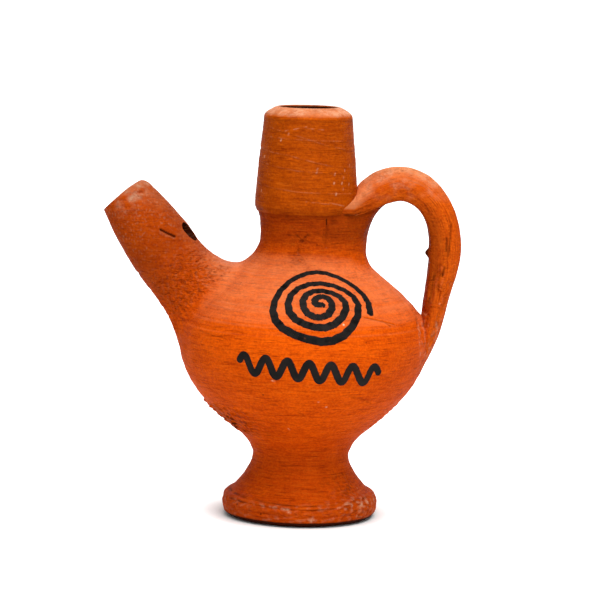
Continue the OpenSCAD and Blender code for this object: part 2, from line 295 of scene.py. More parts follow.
def maths(tree, kind, first, *others):
    """Values added, multiplied or compared one after another."""
    for other in others:
        first = add(tree, "Math", {0: first, 1: other}, operation=kind).outputs["Value"]
    return first


def noise(tree, place, scale, detail=4.0, rough=0.55):
    """Even clouds of a given fineness, 0 to 1."""
    return add(tree, "TexNoise", {"Vector": place, "Scale": scale, "Detail": detail,
        "Roughness": rough}).outputs["Fac"]


def specks(tree, place, scale, share, size):
    """Scattered round specks in a share of the cells of a given fineness."""
    cells = add(tree, "TexVoronoi", {"Vector": place, "Scale": scale, "Randomness": 1.0})
    pick = add(tree, "SeparateColor", {"Color": cells.outputs["Color"]}).outputs["Red"]
    return maths(tree, "MULTIPLY", between(tree, pick, 1 - share, 1.01 - share),
        between(tree, cells.outputs["Distance"], size, size * 0.5))


def marked(tree, name):
    """The amount that mark kept on the piece under a name."""
    return add(tree, "Attribute", attribute_name=name).outputs["Fac"]


def stretched(tree, place, upward):
    """Places drawn out level, for a grain that is finer upward than it is round."""
    return add(tree, "Mapping", {"Vector": place, "Scale": (1.0, 1.0, upward)}).outputs["Vector"]


def fired_clay(name, bright, deep, gloss, dust_and_sheen, coil=False, lined=1.0):
    """Unglazed fired clay: broad kiln clouds, the streaks of turning, fine grit, lime
    and dark specks, pale dust and a painted sheen on what faces up, and pale wear, on
    some tops also a painted highlight, where it is marked so. The streaks run round the
    jug, or on a coil along its length, and lined is their finest lines' strength. Cracks
    show where a piece is marked as rough, and painted shade where it is marked as shade."""
    line_dark, line_light = srgb(112, 24, 0), srgb(240, 122, 30)
    pit_dark, crack_dark, shade_and_dark_marks = srgb(80, 22, 4), srgb(96, 24, 2), srgb(32, 7, 2)
    pale_dust_and_sheen, lime_white, worn_and_lit_pale = srgb(246, 162, 108), srgb(238, 190, 152), srgb(236, 176, 138)
    clay = bpy.data.materials.new(name)
    tree = cleared(clay)
    place = add(tree, "TexCoord").outputs["Object"]
    if coil:
        along = maths(tree, "MULTIPLY", marked(tree, "run"), 0.05)
        grain = add(tree, "CombineXYZ", {"X": marked(tree, "girth"), "Y": along}).outputs["Vector"]
        streaks = noise(tree, grain, 1.3, 5.0, 0.6)
        lines = noise(tree, grain, 3.4, 4.0, 0.6)
    else:
        grain = stretched(tree, place, 14.0)
        streaks = noise(tree, grain, 95.0, 6.0, 0.62)
        lines = noise(tree, grain, 230.0, 5.0, 0.65)
    clouds = noise(tree, place, 42.0)
    mottle = noise(tree, place, 260.0, 5.0, 0.6)
    pores = noise(tree, place, 620.0, 5.0, 0.7)
    grit = noise(tree, place, 1700.0, 4.0, 0.6)
    flakes = noise(tree, stretched(tree, place, 2.4), 700.0, 3.0, 0.6)

    tone = maths(tree, "ADD",
        between(tree, clouds, 0.3, 0.7, 0.0, 0.26), between(tree, streaks, 0.32, 0.68, 0.0, 0.26),
        between(tree, mottle, 0.3, 0.7, 0.0, 0.24), between(tree, grit, 0.36, 0.64, 0.0, 0.34))
    colour = blended(tree, tone, deep, bright)
    colour = blended(tree, between(tree, lines, 0.54, 0.68, 0.0, 0.6 * lined), colour, line_dark)
    colour = blended(tree, between(tree, lines, 0.44, 0.30, 0.0, 0.34 * lined), colour, line_light)
    pit = specks(tree, place, 330.0, 0.10, 0.13)
    colour = blended(tree, maths(tree, "MULTIPLY", pit, 0.6), colour, pit_dark)

    # Painted sheen: what faces up is lightened toward pale pink, as the overhead light makes it look,
    # together with real settled dust.
    facing = add(tree, "SeparateXYZ", {"Vector": add(tree, "NewGeometry").outputs["Normal"]}).outputs["Z"]
    dust_and_sheen_up = maths(tree, "MULTIPLY", between(tree, facing, 0.42, 1.0),
        between(tree, mottle, 0.25, 0.7, 0.55, 1.0), dust_and_sheen)
    colour = blended(tree, dust_and_sheen_up, colour, pale_dust_and_sheen)
    colour = blended(tree, specks(tree, place, 210.0, 0.05, 0.07), colour, lime_white)
    # The worn mark is real wear, and on the collar's lip and the handle's crown also a painted highlight.
    rubbed_and_lit = maths(tree, "MULTIPLY", marked(tree, "worn_and_lit"), between(tree, pores, 0.40, 0.60, 0.15, 1.0))
    colour = blended(tree, rubbed_and_lit, colour, worn_and_lit_pale)
    rough = marked(tree, "rough")
    cracks = maths(tree, "MULTIPLY", rough, between(tree, flakes, 0.47, 0.35, 0.0, 0.55))
    colour = blended(tree, cracks, colour, crack_dark)
    # The shade mark is mostly painted shade, under overhangs, inside hollows and along creases, and also
    # darker clay, cracks and nicks.
    colour = blended(tree, marked(tree, "shade"), colour, shade_and_dark_marks)

    relief = [(streaks, 0.7), (lines, 0.9 * lined), (grit, 0.8), (pores, 0.5),
        (maths(tree, "MULTIPLY", rough, flakes), 6.5), (pit, -0.7)]
    raised = maths(tree, "ADD", *[maths(tree, "MULTIPLY", part, share) for part, share in relief])
    bump = add(tree, "Bump", {"Height": raised, "Strength": 1.0, "Distance": 0.0002})
    shine = between(tree, mottle, 0.3, 0.7, gloss + 0.06, gloss - 0.06)
    shader = add(tree, "BsdfPrincipled", {"Base Color": colour, "Roughness": shine,
        "Normal": bump.outputs["Normal"], "Specular IOR Level": 0.02})
    add(tree, "OutputMaterial", {"Surface": shader.outputs["BSDF"]})
    return clay


foot_clay = fired_clay("foot_clay", srgb(232, 92, 4), srgb(172, 48, 0), 0.6, 0.0)
foot.data.materials.append(foot_clay)
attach(foot, "root")
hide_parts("foot")

# ---- Bowl and neck
# The hollow body, thrown in one piece from the seat to the collar. Its outside
# keeps the lines of the wheel, and crumbs of clay stick low on its left.
BELLY_Z = 43.2
BELLY_R = 30.45
GRID_STEP = 0.1
BOWL_TURNS = 900
belly = np.array([BELLY_R, BELLY_Z])
shoulder = np.array([17.0, 61.2])
throat = np.array([11.1, 69.4])
neck_top = np.array([12.05, 75.6])
bowl_side = np.vstack([
    [seat], curve(seat, seat + heading(38, 9), belly - [0, 9.2], belly, 60),
    curve(belly, belly + [0, 8.4], shoulder + heading(-40, 7), shoulder, 60),
    curve(shoulder, shoulder + heading(140, 2.8), throat - [0, 4.6], throat, 30),
    curve(throat, throat + [0, 3], neck_top - [0.5, 1.2], neck_top, 16)])
bowl_side = evened(bowl_side, 0.17)

# Crumbs of clay, as (turn, height, size, rise): many low on the left, few on the right
rng = np.random.default_rng(24)
crumbs = [
    (rng.uniform(-3.14, -2.15), 18.5 + 10.5 * rng.uniform(0, 1) ** 1.2,
        rng.uniform(0.2, 0.6), rng.uniform(0.2, 0.6))
    for _ in range(80)]
crumbs += [
    (rng.uniform(-0.5, -0.05), rng.uniform(22, 29), rng.uniform(0.15, 0.35), rng.uniform(0.1, 0.25))
    for _ in range(12)]

# Marks in the skin, as [degrees round, height], laid out at the neck's or the side's radius
mark_neck_r, mark_side_r = 11.6, 28.0
crack = [[(-64.3, 74.3), (-62.4, 72.2), (-63.4, 69.8), (-63.2, 67.6)]]
nicks = [
    [(-101.0, 70.3), (-96.5, 69.5), (-94.1, 68.9), (-91.0, 69.5), (-87.6, 70.5)],
    [(-98.6, 66.5), (-97.2, 66.1)], [(-96.6, 64.4), (-95.4, 64.1)]]
deep_scratches = [
    [(-57.2, 52.2), (-52.2, 51.65), (-46.4, 51.0), (-39.6, 50.1)], [(-47.0, 51.2), (-43.0, 49.9)]]
faint_scratches = [
    [(-147, 47.4), (-136, 46.8), (-131, 46.9)], [(-66, 33.6), (-58, 32.8), (-50, 31.2)],
    [(-92, 29.4), (-89, 28.8)], [(-124, 38.0), (-114, 37.3)]]
lime_dots = [
    [(-81.6, 32.3), (-81.2, 32.3)], [(-76.9, 30.9), (-76.5, 30.9)], [(-139, 27.8), (-138.6, 27.9)],
    [(-99, 24.6), (-98, 24.3)], [(-104, 37.5), (-103, 37.3)], [(-56, 64), (-52, 63.6)]]

# The skin's radius over a grid of turns and heights, which later pieces are laid on
grid_turn = np.linspace(-math.pi, math.pi, 1261)
grid_height = np.arange(18.0, 76.2, GRID_STEP)
over, up = grid_turn[None, :], grid_height[:, None]
proud = thrown(over, up)
for at, low, size, rise in crumbs:
    rows = np.abs(grid_height - low) < 2.2
    cols = np.abs(grid_turn - at) < 0.12
    away = (over[:, cols] - at) * 20
    crumb = rise * np.exp(-(away / size) ** 4 - ((up[rows] - low) / size) ** 4)
    proud[np.ix_(rows, cols)] += crumb * held((up[rows] - FOOT_H - 0.1) / 1.5)
proud -= 0.30 * scored(over, up, mark_neck_r, crack, 0.16)
proud -= 0.18 * scored(over, up, mark_neck_r, nicks, 0.22)
proud -= 0.12 * scored(over, up, mark_side_r, deep_scratches + faint_scratches, 0.16)
skin_table = np.interp(grid_height, bowl_side[:, 1], bowl_side[:, 0])[:, None] + proud


def bowl_r(turn, height):
    """Radius of the skin of the bowl and neck, at places between the grid's points."""
    turn, height = np.broadcast_arrays(turn, height)
    col = ((turn + math.pi) % (2 * math.pi)) / (2 * math.pi) * (len(grid_turn) - 1)
    row = np.clip((height - grid_height[0]) / GRID_STEP, 0, len(grid_height) - 1.001)
    c, r = np.minimum(col.astype(int), len(grid_turn) - 2), row.astype(int)
    u, v = col - c, row - r
    return ((skin_table[r, c] * (1 - u) + skin_table[r, c + 1] * u) * (1 - v)
        + (skin_table[r + 1, c] * (1 - u) + skin_table[r + 1, c + 1] * u) * v)


turn = np.linspace(-math.pi, math.pi, BOWL_TURNS, endpoint=False)[None, :]
bowl_out = about_axis(turn, bowl_side[:, 1:], bowl_r(turn, bowl_side[:, 1:]))
bowl_under = revolved([[0.05, 18.95], [8.0, 19.35], [13.0, 20.2]], BOWL_TURNS)
throat_in = np.array([7.0, 66.4])
shoulder_in = shoulder + heading(230, 4)
belly_in = belly - [4, 0]
floor_edge, floor_middle = [15, 22.9], [0.05, 22.9]
chamber_side = evened(np.vstack([
    [[9.5, 75.5], [9.5, 81.3], [7.0, 81.3]], [throat_in],
    curve(throat_in, throat_in - [0, 3.6], shoulder_in + heading(140, 4), shoulder_in, 12),
    curve(shoulder_in, shoulder_in + heading(-40, 5.5), belly_in + [0, 7.5], belly_in, 20),
    curve(belly_in, belly_in - [0, 10.5], floor_edge, floor_middle, 24)]), 0.7)
bowl_rings = np.concatenate([bowl_under, bowl_out, revolved(chamber_side, BOWL_TURNS)])
bowl = clay_skin("bowl_and_neck", bowl_rings, ends=(True, True))
height = bowl_rings[..., 2]
turn = np.arctan2(bowl_rings[..., 1], bowl_rings[..., 0])
outside = np.arange(len(bowl_rings))[:, None] < len(bowl_under) + len(bowl_out)
low_left = close_to(height, 24.5, 4.0) * close_to(turn, -2.65, 0.5)
low_right = close_to(height, 25, 5) * close_to(turn, -0.3, 0.5)
fingered = close_to(height, 66.0, 4.0) * close_to(turn, -1.66, 0.24)
clods = held(lumps(bowl_rings, 1.5, 25) + 0.15)
blotch = held(0.5 + lumps(bowl_rings * [1, 1, 1.4], 1.6, 26))
# Painted shade: the neck darker under the collar, most just under its edge, and the bowl a little darker near
# the seat. The crumbs low on the left are marked darker too, and the inside of the chamber is painted in
# shade.
darker = (np.interp(height, [61, 69, 72], [0.0, 0.44, 0.48]) + 0.10 * close_to(height, 74.9, 0.8)
    + np.interp(height, [FOOT_H, 27], [0.08, 0.0]) + 0.8 * low_left * clods)
cuts = (0.55 * scored(turn, height, mark_neck_r, crack, 0.15)
    + 0.28 * blotch * scored(turn, height, mark_neck_r, nicks, 0.5)
    + 0.45 * scored(turn, height, mark_side_r, deep_scratches, 0.17)
    + 0.25 * scored(turn, height, mark_side_r, faint_scratches, 0.15))
mark(bowl, "shade", np.where(outside, np.clip(darker + cuts, 0, 0.95), 0.9))
mark(bowl, "worn_and_lit", np.where(outside, 0.75 * scored(turn, height, mark_side_r, lime_dots, 0.17), 0))
mark(bowl, "rough", np.where(outside, held(0.12 + 0.12 * (height > 62) + 0.9 * low_left
    + 0.7 * fingered + 0.3 * low_right), 0))
red_clay = fired_clay("red_clay", srgb(240, 97, 4), srgb(170, 46, 0), 0.6, 0.48)
bowl.data.materials.append(red_clay)
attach(bowl, "root")
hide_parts("body")

# ---- Collar
# The tapered mouthpiece of the neck, which the jug is filled through: thrown by
# itself in a browner clay, smoothed with a wet rib, and luted over a spigot.
TOP_Z = 100.8
COLLAR_Z = 75.4
COLLAR_STEP = 0.25
COLLAR_TURNS = 620
MOUTH_R = 7.2
SOCKET_R = 9.6
SOCKET_TOP = 81.6
collar_foot = np.array([12.1, 75.3])
collar_low = np.array([12.65, 77.2])
collar_top = np.array([10.86, 98.3])
lip = np.array([9.4, 99.95])
brim = np.array([7.5, TOP_Z])
collar_side = np.vstack([
    [collar_foot], curve(collar_foot, collar_foot + [0.25, 0.5], collar_low - [0, 0.9], collar_low, 12),
    curve(collar_low, collar_low + [0, 3], collar_top + [0.62, -7], collar_top, 40),
    curve(collar_top, collar_top + [-0.1, 0.8], [10.0, 99.6], lip, 12),
    curve(lip, [8.7, 100.35], brim + [0.5, 0], brim, 12)])
collar_side = evened(collar_side, 0.13)

# Lines the rib left, scratches rubbed pale, and flecks, as [degrees round, height]
mark_collar_r = 12.0
rib_lines = [
    [(-180, 90.6), (-112, 89.2), (-62, 86.9), (-20, 86.2)],
    [(-150, 95.8), (-112, 94.5), (-61.9, 91.6), (-20, 90.2)],
    [(-175, 82.2), (-100, 80.6), (-30, 80.0)], [(-170, 87.5), (-100, 85.6), (-40, 84.9)],
    [(-150, 93.4), (-80, 93.0), (-20, 92.6)]]
rubs = [
    [(-119.6, 95.4), (-105, 96.0), (-91.2, 96.6)], [(-100, 96.3), (-70, 95.9)],
    [(-62.9, 78.4), (-52, 77.9), (-43.6, 77.5)], [(-90, 78.7), (-64, 78.1)]]
fleck_places = [
    (-115.0, 94.5), (-152.6, 88.7), (-78.4, 86.3), (-29.8, 87.0), (-40.3, 85.9), (-56.1, 85.1), (-57.6, 82.9),
    (-46.2, 82.9), (-33.8, 82.5), (-152.0, 80.4), (-55.2, 80.3), (-44.9, 81.4), (-43, 84.1), (-125, 93.0),
    (-78.9, 85.6)]
flecks = [[(d, z), (d + 0.5, z + 0.3)] for d, z in fleck_places]


def collar_unevenness(turn, height):
    """How far the collar's skin stands proud of its outline, less toward the lip."""
    spot = about_axis(turn, height, 12)
    fade = np.clip((99.4 - height) / 2.0, 0.15, 1)
    return fade * (turning_marks(turn, height, 76, 97.6, 90, 0.05, 31, wide=0.3, slope=0.35)
        - 0.05 * scored(turn, height, mark_collar_r, rib_lines, 0.16)
        + 0.05 * lumps(spot, 9, 32) + 0.015 * lumps(spot, 2.2, 33)) - 0.04


collar_out = revolved(collar_side, COLLAR_TURNS, collar_unevenness)
bore_side = [[MOUTH_R, 100.35], [MOUTH_R, SOCKET_TOP], [SOCKET_R, SOCKET_TOP], [SOCKET_R, 75.7]]
collar_bore = revolved(evened(bore_side, 0.5), COLLAR_TURNS)
collar_bore[:2] += 0.06 * lumps(collar_bore[:2], 3, 34)[..., None]
collar_rings = np.concatenate([collar_out, collar_bore])
collar = clay_skin("collar_clay", collar_rings, loop=True)
height = collar_rings[..., 2]
turn = np.arctan2(collar_rings[..., 1], collar_rings[..., 0])
outside = np.arange(len(collar_rings))[:, None] < len(collar_side)
# The lip is worn pale, and lightened as a painted highlight where it faces the light.
worn_and_lit_lip = held((height - 98.6) / 0.8) * np.clip(0.8 + lumps(collar_rings, 5, 37), 0.3, 1)
worn_ribs = held(0.5 + lumps(collar_rings, 3, 38)) * scored(turn, height - 0.35, mark_collar_r,
    rib_lines, 0.13)
worn_rubs = scored(turn, height, mark_collar_r, rubs, 0.13) * held(0.6 + lumps(collar_rings, 2, 35))
lime = scored(turn, height, mark_collar_r, flecks, 0.2)
mark(collar, "worn_and_lit", np.where(outside,
    held(0.60 * worn_and_lit_lip + 0.17 * worn_ribs + 0.34 * worn_rubs + 0.85 * lime), 0))
# Darker below the lip, with painted shade in a line under the lip's rounding, along the rib lines and at the
# collar's foot. The bore inside is painted in shade.
darker = (np.interp(height, [97.8, 98.6], [0.20, 0.0]) + 0.14 * close_to(height, 97.9, 0.35)
    + 0.10 * scored(turn, height - 0.1, mark_collar_r, rib_lines, 0.14) + 0.10 * close_to(height, 76.0, 0.7))
mark(collar, "shade", np.where(outside, held(darker), np.clip((100.9 - height) / 0.2, 0, 0.97)))
mark(collar, "rough", np.where(outside, 0.28 * (height < 98) * held(0.8 + lumps(collar_rings, 7, 36)), 0))
collar_clay = fired_clay("collar_clay", srgb(212, 92, 2), srgb(140, 44, 0), 0.5, 0.5, lined=0.95)
collar.data.materials.append(collar_clay)
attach(collar, "root")
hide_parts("collar")

# ---- Spout
# A tapered tube of clay rolled round a rod, smeared out onto the shoulder with
# wet fingers. A window cut through its upper side makes it whistle when blown.
SPOUT_TILT = math.radians(53.5)
SPOUT_TURN = math.radians(-5)
TIP_X, TIP_Z = -45.5, 79.0
TIP_R, TUBE_R = 6.2, 8.65
BORE_R = 4.5
ROOT_S = 32.2
ROOT_Z = TIP_Z - ROOT_S * math.sin(SPOUT_TILT)
TUBE_L = ROOT_S - 12
WINDOW_SIDE = -1.75
TIP_CUT = 0.65


def on_spout(s, up, side):
    """Places along the spout, above its axis and beside it, before it is turned."""
    s, up, side = np.broadcast_arrays(s, up, side)
    return np.stack([TIP_X + s * math.cos(SPOUT_TILT) + up * math.sin(SPOUT_TILT), side,
        TIP_Z - s * math.sin(SPOUT_TILT) + up * math.cos(SPOUT_TILT)], axis=-1)


def turned(points, angle):
    """Points turned about the jug's axis."""
    x, y = points[..., 0], points[..., 1]
    return np.stack([x * math.cos(angle) - y * math.sin(angle),
        x * math.sin(angle) + y * math.cos(angle), points[..., 2]], axis=-1)


collar_height = np.arange(COLLAR_Z, TOP_Z, COLLAR_STEP)
collar_table = np.array([
    np.interp(z, collar_side[:, 1], collar_side[:, 0])
        + collar_unevenness(grid_turn, np.full(len(grid_turn), z))
    for z in collar_height])


def jug_r(turn, height):
    """Radius of the jug's skin, on the bowl, the neck or the collar."""
    turn, height = np.broadcast_arrays(turn, height)
    col = ((turn + math.pi) / (2 * math.pi) * (len(grid_turn) - 1)).astype(int) % len(grid_turn)
    row = np.clip(((height - COLLAR_Z) / COLLAR_STEP).astype(int), 0, len(collar_height) - 1)
    return np.where(height < COLLAR_Z, bowl_r(turn, height), collar_table[row, col])


def landed(side, height, way, turn_by=0.0, proud=0.02):
    """Points on the jug's skin straight along X from its axis, at a side and height."""
    side, height = np.broadcast_arrays(side, height)
    x = np.full(side.shape, way * 20.0)
    for _ in range(6):
        reach = jug_r(np.arctan2(side, x) + turn_by, height) + proud
        x = way * np.sqrt(np.maximum(reach ** 2 - side ** 2, 0.01))
    return np.stack([x, side, height], axis=-1)


# Round the tube, from its upper side
round_tube = np.linspace(0, 2 * math.pi, 216, endpoint=False)
upper, sideways = np.cos(round_tube), np.sin(round_tube)


def tube_r(s):
    """The tube's radius along it, flattened a little on top near the tip."""
    plain = TIP_R + (TUBE_R - TIP_R) * (1 - (1 - s / TUBE_L) ** 2)
    return plain - 0.55 * np.exp(-s / 4.0) * held(upper)


def ring_on_spout(s, r):
    """A ring of the tube at a place along it, of a radius."""
    return on_spout(s, r * upper, r * sideways)


def root_ring(share):
    """A ring on the jug's skin round the spout's root, at a share of its full size."""
    reach = np.where(upper > 0, 10.2, 13.6)
    return landed(14.4 * sideways * share, ROOT_Z + reach * upper * share, -1, SPOUT_TURN)


# The tip is cut back a little on its under side, and rounded more on its upper side
cut_back = TIP_CUT * (1 - upper) + 0.5 * held(upper) ** 2
round_l = 0.4 + 1.5 * (1 + upper)
rings = [ring_on_spout(cut_back, BORE_R)]
for swing in np.linspace(math.pi / 2, 0, 17):
    r = tube_r(cut_back + round_l) - round_l * 0.7 * (1 - math.cos(swing))
    rings.append(ring_on_spout(cut_back + round_l * (1 - math.sin(swing)), r))
for t in np.linspace(0, 1, 100)[1:]:
    s = cut_back + round_l + (TUBE_L - cut_back - round_l) * t
    rings.append(ring_on_spout(s, tube_r(s)))
tube_end, root = rings[-1], root_ring(1)
out = root - root_ring(0.96)
out /= np.linalg.norm(out, axis=1, keepdims=True)
along = on_spout(1, 0, 0) - on_spout(0, 0, 0)
leave = tube_end + np.interp(upper, [-1, 0, 1], [10.5, 7.0, 2.6])[:, None] * along
arrive = root - (7.4 - 1.4 * upper)[:, None] * out
for t in np.linspace(0, 1, 101)[1:]:
    rings.append((1 - t) ** 3 * tube_end + 3 * t * (1 - t) ** 2 * leave
        + 3 * t * t * (1 - t) * arrive + t ** 3 * root)
outer = np.stack(rings)


def skin_normals(rings):
    """Unit normals of a sheet of rings, pointing away from the rings' middles."""
    along = np.gradient(rings, axis=0)
    across = (np.roll(rings, -1, 1) - np.roll(rings, 1, 1)) / 2
    normal = np.cross(along, across)
    normal /= np.linalg.norm(normal, axis=-1, keepdims=True) + 1e-9
    facing = np.sum(normal * (rings - rings.mean(axis=1, keepdims=True)), axis=(1, 2))
    return normal * np.sign(facing)[:, None, None]


# A nick with a lifted lip, as [x, height] seen from the front, dents, as (x, height,
# size), and clay torn into scales near the root
nick = [(-35.3, 70.3), (-33.6, 69.45), (-31.9, 68.7)]
dent_spots = [(-42.2, 62.2, 0.5), (-40.8, 58.9, 0.4), (-35.0, 50.2, 0.45), (-38.3, 54.6, 0.35)]
placed = turned(outer, SPOUT_TURN)
seen, front = placed[..., [0, 2]], placed[..., 1] < 1
row = np.arange(len(outer))[:, None]
hold = held((len(outer) - 1 - row) / 40) * held(row / 6)
uneven = 0.13 * lumps(outer, 12, 41) + 0.045 * lumps(outer, 4.0, 42) + 0.025 * lumps(outer, 1.6, 45) - 0.12
torn_row, torn_rows = 158, 30.0
scaly = np.exp(-((row - torn_row) / torn_rows) ** 4) * held(-1.2 * sideways + 0.1)
uneven = uneven + 0.10 * scaly * np.minimum(lumps(placed * [1.0, 1.0, 2.2], 1.5, 43), 0.3)
cut_in = near_line(seen, nick, 0.30) * front
lifted = near_line(seen + [0.25, 0.55], nick, 0.35) * front
dents = np.max([
    np.exp(-np.sum((seen - [x, z]) ** 2, axis=-1) / size ** 2)
    for x, z, size in dent_spots], axis=0)
proud = hold * (uneven - 0.5 * cut_in + 0.12 * lifted - 0.4 * dents)
outer = outer + skin_normals(outer) * proud[..., None]
inner = [root_ring(0.8) * [0.97, 1, 1], root_ring(0.5) * [0.94, 1, 1]]
inner += [ring_on_spout(s + cut_back * held(1 - s / 8), BORE_R) for s in np.linspace(ROOT_S + 3, 0.3, 60)]
spout_rings = turned(np.concatenate([outer, np.stack(inner)]), SPOUT_TURN)
spout = clay_skin("spout_clay", spout_rings, loop=True)
spout.data.materials.append(red_clay)

# The window's cutter, as (above the axis, along the spout, half length, half width)
# The window's cut walls get a near-black clay, as painted shade inside the opening.
window_shade_clay = fired_clay("window_shade_clay", srgb(70, 18, 3), srgb(26, 7, 2), 0.8, 0.0)
window = [(2.6, 17.2, 2.0, 2.1), (5.0, 17.3, 2.2, 2.0), (7.0, 17.6, 2.5, 2.1), (8.6, 17.9, 2.8, 2.3),
    (10.5, 18.4, 3.2, 2.9)]
cutter_rings = np.stack([
    turned(on_spout(s + long * upper, up, WINDOW_SIDE + wide * sideways), SPOUT_TURN)
    for up, s, long, wide in window])
cutter = clay_skin("window_cutter", cutter_rings, ends=(True, True))
cutter.data.materials.append(window_shade_clay)
cutting = spout.modifiers.new("window", "BOOLEAN")
cutting.operation = "DIFFERENCE"
cutting.solver = "EXACT"
cutting.material_mode = "TRANSFER"
cutting.object = cutter
bpy.context.view_layer.update()
opened = bpy.data.meshes.new_from_object(spout.evaluated_get(bpy.context.evaluated_depsgraph_get()))
spout.modifiers.clear()
spout.data = opened
spout.data.set_sharp_from_angle(angle=math.radians(50))
bpy.data.objects.remove(cutter)


def points_of(piece):
    """The points of a piece's mesh, in millimetres."""
    found = np.empty(len(piece.data.vertices) * 3, np.float32)
    piece.data.vertices.foreach_get("co", found)
    return found.reshape(-1, 3) / MM


spots = points_of(spout)
level = turned(spots, -SPOUT_TURN)
from_tip = (level[:, 0] - TIP_X) * math.cos(SPOUT_TILT) - (level[:, 2] - TIP_Z) * math.sin(SPOUT_TILT)
above = (level[:, 0] - TIP_X) * math.sin(SPOUT_TILT) + (level[:, 2] - TIP_Z) * math.cos(SPOUT_TILT)
within = (np.hypot(above, level[:, 1]) < BORE_R + 0.15) & (from_tip > 0.02)
turn = np.arctan2(spots[:, 1], spots[:, 0])
off_bowl = np.hypot(spots[:, 0], spots[:, 1]) - bowl_r(turn, np.clip(spots[:, 2], 22, 75))
faded = held(off_bowl / 2.5)
patch = np.exp(-((from_tip - 27.5) / 6.5) ** 4) * held(-level[:, 1] / 7) * faded
worn_tip = close_to(from_tip, 2.6, 2.6) * close_to(above, 3.0, 4.5) * (0.55 + 0.6 * lumps(spots, 3.0, 44))
worn_specks = held(lumps(spots, 0.9, 46) - 0.2) * held((26 - from_tip) / 14)
mark(spout, "worn_and_lit", np.where(within, 0,
    held(0.75 * worn_tip + 0.30 * worn_specks + 0.10 * patch * held(lumps(spots, 1.2, 48)))))
mark(spout, "rough", np.where(within, 0, held(patch + 0.3 * close_to(from_tip, 6, 6.0))))
# Painted shade: the nick, the tip's end face, the crevices of the scaly patch, and the window walls and bore
# inside. The tube is also darkened along its length, fading toward the root.
darker = (0.9 * near_line(spots[:, [0, 2]], nick, 0.22) * (spots[:, 1] < 1)
    + 0.62 * held((0.45 - from_tip) / 0.3)
    + 0.18 * patch * held(-lumps(spots * [1, 1, 2.2], 1.5, 43) - 0.25)
    + np.interp(from_tip, [0, 18, 31], [0.38, 0.52, 0.08]) * faded)
mark(spout, "shade", np.where(within, 0.92, np.clip(darker, 0, 0.95)))
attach(spout, "root")
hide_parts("spout")

# ---- Block
# A plug of clay pressed into the mouthpiece. It is flat on top, so that breath
# runs through a thin windway above it and strikes the edge of the window.
BLOCK_L = 15.4
WINDWAY_H = 1.5
CUT_SLOPE = 0.108
block_r = BORE_R - 0.15
flat = math.acos((BORE_R - WINDWAY_H) / block_r)
flat_half, flat_up = block_r * math.sin(flat), block_r * math.cos(flat)
arc = np.linspace(flat, 2 * math.pi - flat, 60)
flat_top = evened([[flat_up, -flat_half], [flat_up, flat_half]], 0.3)[1:-1]
profile = np.vstack([np.stack([block_r * np.cos(arc), block_r * np.sin(arc)], axis=1), flat_top])
# Rings along the block, as (place, share of the profile), its front following the tip's cut
sizes = [(0.6, 0.2), (0.6, 0.9), (0.75, 1.0)] + [(s, 1.0) for s in np.linspace(1, BLOCK_L - 0.2, 30)]
sizes += [(BLOCK_L, 0.96), (BLOCK_L, 0.2)]
front_cut = TIP_CUT - CUT_SLOPE * profile[:, 0]
block_rings = turned(np.stack([
    on_spout(s + front_cut * max(0, 1 - s / 8), profile[:, 0] * share, profile[:, 1] * share)
    for s, share in sizes]), SPOUT_TURN)
block_rings = block_rings + 0.05 * (lumps(block_rings, 3, 51) - 1)[..., None] * skin_normals(block_rings)
block = clay_skin("whistle_block", block_rings, ends=(True, True))
# The block is darkened all over as painted shade, deep inside the tube.
mark(block, "shade", np.full(block_rings.shape[:2], 0.45))
block_clay = fired_clay("block_clay", srgb(170, 70, 14), srgb(120, 42, 4), 0.7, 0.2)
block.data.materials.append(block_clay)
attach(block, "root")
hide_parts("fipple_block")

# ---- Handle
# A coil of clay bent into a loop while soft. Its upper end is pressed flat under the
# collar over a web of clay, and its lower end is smeared down the side of the bowl.
GIRTH = 28.0
REACH_X = 38.3
BEND_POINTS = 130
CROWN_SHARE = 0.55


def on_side(height, proud=0.0):
    """A point of [x, height] on the jug's skin under the handle."""
    return np.array([landed(0.0, height, 1)[..., 0] + proud, height])


root_back = np.array([12.3, COLLAR_Z + 6.2])
root_in = np.array([11.6, COLLAR_Z + 0.9])
crown_back = np.array([22.7, COLLAR_Z + 11.4])
crown_in = crown_back - [0, 8]
far_back = np.array([REACH_X, BELLY_Z + 23.6])
far_in = far_back + [-8, 1]
elbow_in = on_side(BELLY_Z + 6.2)
elbow_back = on_side(BELLY_Z + 8.9, 8) - [0, 0.2]
tail_in = on_side(BELLY_Z - 4.6)
tail_back = tail_in + [0.4, 0]


def bent(crown, far):
    """The bend from the loop's crown to its furthest point."""
    step = CROWN_SHARE * (far - crown)
    return curve(crown, crown + [step[0], 0], far - [0, step[1]], far, BEND_POINTS)


back = np.vstack([
    [root_back], curve(root_back, root_back + [1.8, 3.2], crown_back - [4, 0], crown_back, BEND_POINTS),
    bent(crown_back, far_back),
    curve(far_back, far_back - [0, 5], elbow_back + [1.1, 5], elbow_back, BEND_POINTS),
    curve(elbow_back, elbow_back - [0.9, 4.2], tail_back + [2.4, 4.6], tail_back, BEND_POINTS)])
inside = np.vstack([
    [root_in], curve(root_in, root_in + [3.4, 0.5], crown_in - [4.6, 0.05], crown_in, BEND_POINTS),
    bent(crown_in, far_in),
    curve(far_in, far_in - [0, 8], elbow_in + [0.3, 6], elbow_in, BEND_POINTS)])

# Below the elbow the inner edge runs straight down inside the bowl's skin
below = np.arange(1, BEND_POINTS + 1)
inside = np.vstack([inside, np.stack([
    elbow_in[0] - np.interp(below, [0, 25, BEND_POINTS], [0, 0.6, 1.5]),
    np.linspace(elbow_in[1], tail_in[1], BEND_POINTS)], axis=1)])

